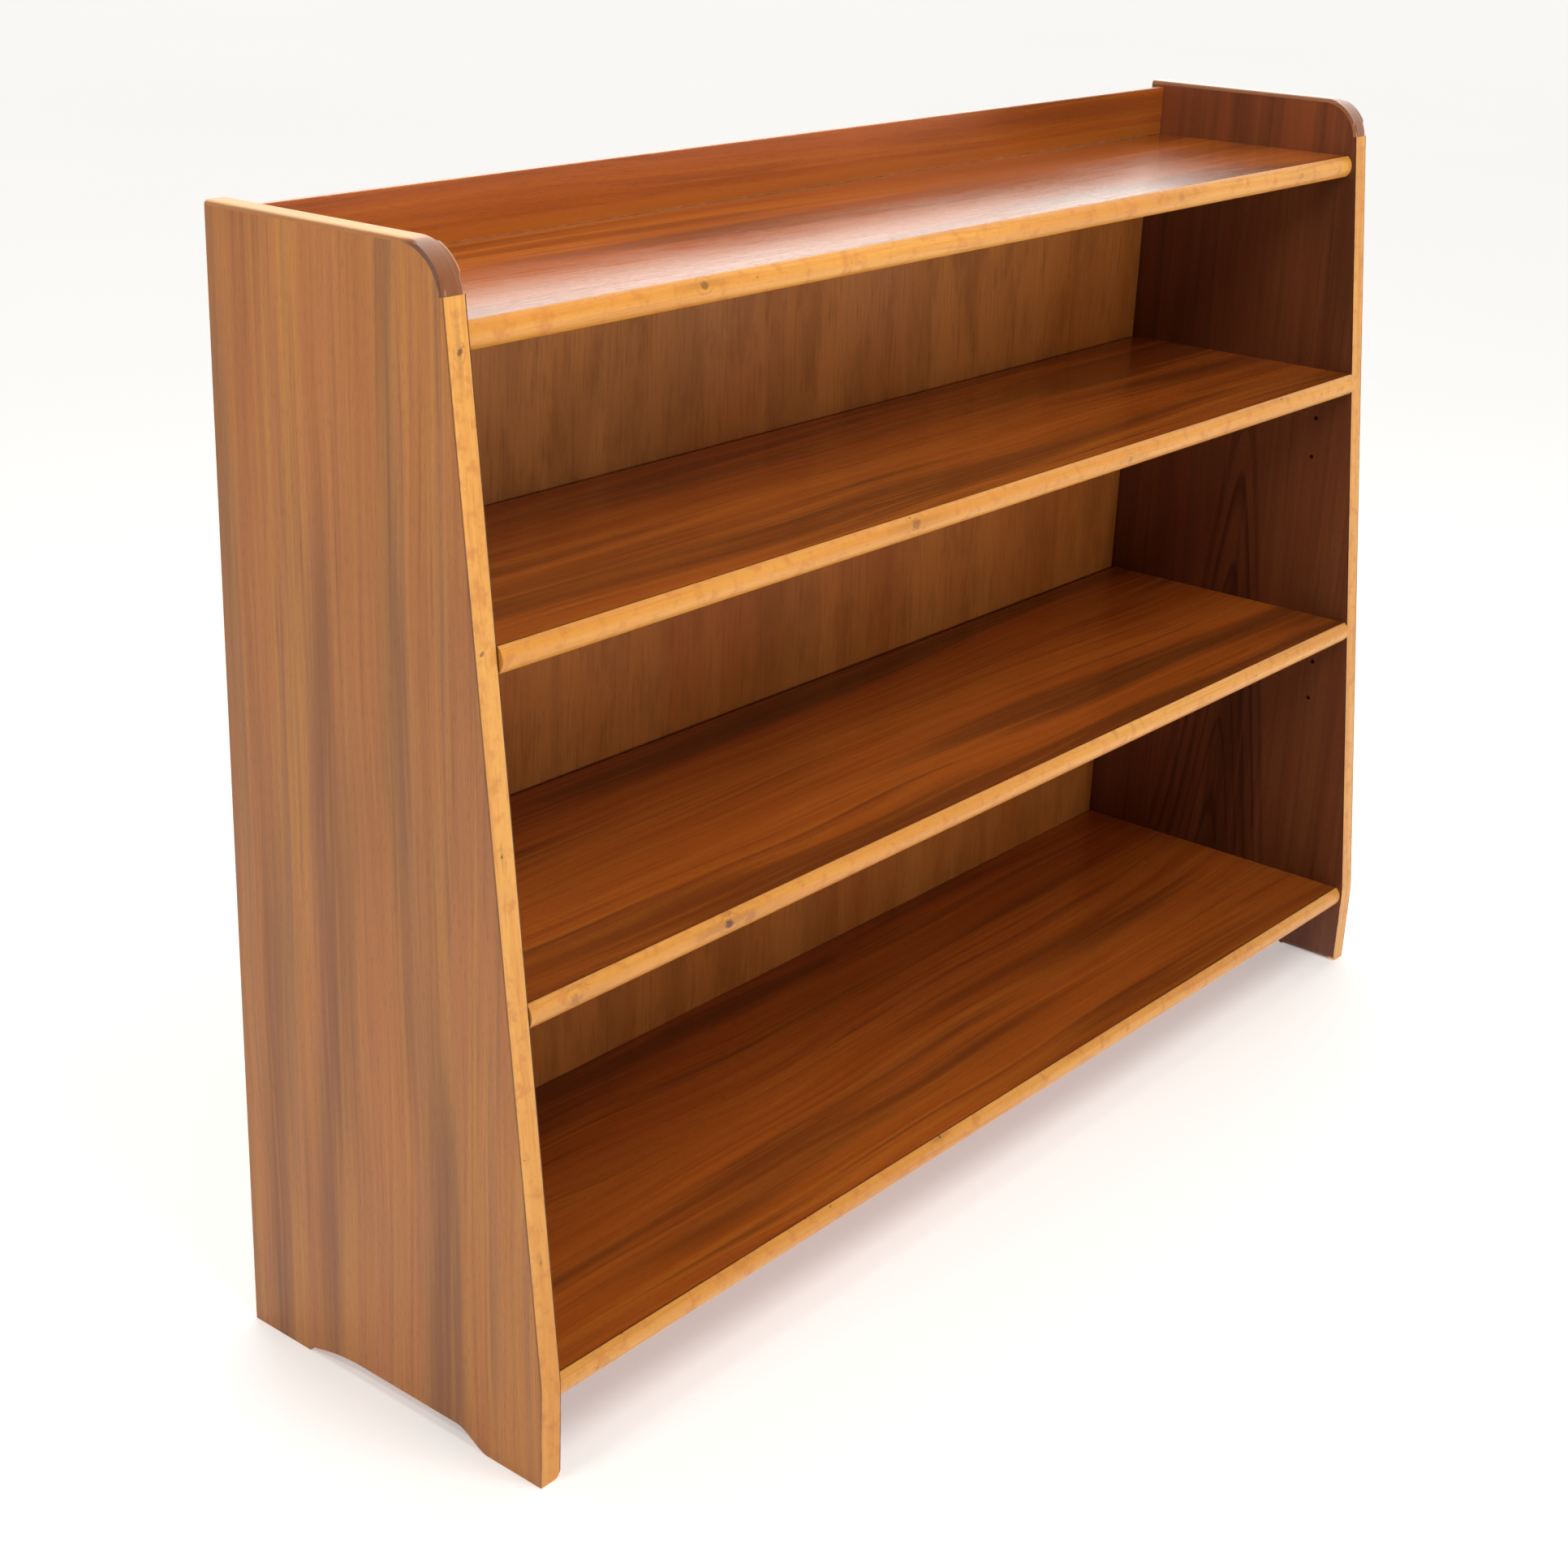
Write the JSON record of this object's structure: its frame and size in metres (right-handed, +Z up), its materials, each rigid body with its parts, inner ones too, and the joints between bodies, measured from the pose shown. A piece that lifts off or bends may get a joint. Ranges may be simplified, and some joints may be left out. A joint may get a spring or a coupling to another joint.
{
  "type": "bookcase with adjustable shelves",
  "caption": "Low free-standing wooden bookcase with sloping sides, fixed top and bottom shelves, adjustable shelves on hidden wires, and a thin back.",
  "frame": {"origin": "middle of the bookcase's box on the floor: half-way between the outer faces of the sides, half-way between the front of the feet and the rear edges", "axes": "+X along the shelves to the right seen from the front, -Y towards the front, +Z up"},
  "size_m": [1.392, 0.36, 1],
  "materials": {
    "brown_veneer": "satin lacquered red-brown veneer on board, grain along the part",
    "light_lipping": "honey-coloured solid light wood, lacquered",
    "dark_edging": "brown solid wood edging, glossy lacquer",
    "back_plywood": "stained plywood, grain upright",
    "dowel_beech": "plain beech",
    "wire_steel": "drawn steel wire",
    "screw_brass": "dull brass"
  },
  "bodies": {
    "case": {"back_panel": "back_plywood", "back_screw_1": "screw_brass", "back_screw_10": "screw_brass", "back_screw_2": "screw_brass", "back_screw_3": "screw_brass", "back_screw_4": "screw_brass", "back_screw_5": "screw_brass", "back_screw_6": "screw_brass", "back_screw_7": "screw_brass", "back_screw_8": "screw_brass", "back_screw_9": "screw_brass", "bottom_shelf": "brown_veneer", "bottom_shelf_dowel_left_1": "dowel_beech", "bottom_shelf_dowel_left_2": "dowel_beech", "bottom_shelf_dowel_left_3": "dowel_beech", "bottom_shelf_dowel_right_1": "dowel_beech", "bottom_shelf_dowel_right_2": "dowel_beech", "bottom_shelf_dowel_right_3": "dowel_beech", "bottom_shelf_lipping": "light_lipping", "side_edging_left": "dark_edging", "side_edging_right": "dark_edging", "side_lipping_left": "light_lipping", "side_lipping_right": "light_lipping", "side_panel_left": "brown_veneer", "side_panel_right": "brown_veneer", "top_shelf": "brown_veneer", "top_shelf_dowel_left_1": "dowel_beech", "top_shelf_dowel_left_2": "dowel_beech", "top_shelf_dowel_left_3": "dowel_beech", "top_shelf_dowel_right_1": "dowel_beech", "top_shelf_dowel_right_2": "dowel_beech", "top_shelf_dowel_right_3": "dowel_beech", "top_shelf_lipping": "light_lipping", "upstand": "brown_veneer", "upstand_end_dowel_left": "dowel_beech", "upstand_end_dowel_right": "dowel_beech", "upstand_foot_dowel_left": "dowel_beech", "upstand_foot_dowel_right": "dowel_beech"},
    "upper_shelf": {"upper_shelf": "brown_veneer", "upper_shelf_lipping": "light_lipping"},
    "lower_shelf": {"lower_shelf": "brown_veneer", "lower_shelf_lipping": "light_lipping"},
    "upper_shelf_wire_left": {"upper_shelf_wire_left": "wire_steel"},
    "upper_shelf_wire_right": {"upper_shelf_wire_right": "wire_steel"},
    "lower_shelf_wire_left": {"lower_shelf_wire_left": "wire_steel"},
    "lower_shelf_wire_right": {"lower_shelf_wire_right": "wire_steel"}
  },
  "joints": [
    {"name": "upper_shelf_pull", "type": "slide", "parent": "case", "child": "upper_shelf", "axis": [0, -1, 0], "range_m": [-0.0055, 0.36]},
    {"name": "lower_shelf_pull", "type": "slide", "parent": "case", "child": "lower_shelf", "axis": [0, -1, 0], "range_m": [-0.0055, 0.36]},
    {"name": "upper_wire_left_pull", "type": "slide", "parent": "case", "child": "upper_shelf_wire_left", "axis": [1, 0, 0], "range_m": [0, 0.0083]},
    {"name": "upper_wire_right_pull", "type": "slide", "parent": "case", "child": "upper_shelf_wire_right", "axis": [-1, 0, 0], "range_m": [0, 0.0083]},
    {"name": "lower_wire_left_pull", "type": "slide", "parent": "case", "child": "lower_shelf_wire_left", "axis": [1, 0, 0], "range_m": [0, 0.0083]},
    {"name": "lower_wire_right_pull", "type": "slide", "parent": "case", "child": "lower_shelf_wire_right", "axis": [-1, 0, 0], "range_m": [0, 0.0083]}
  ]
}
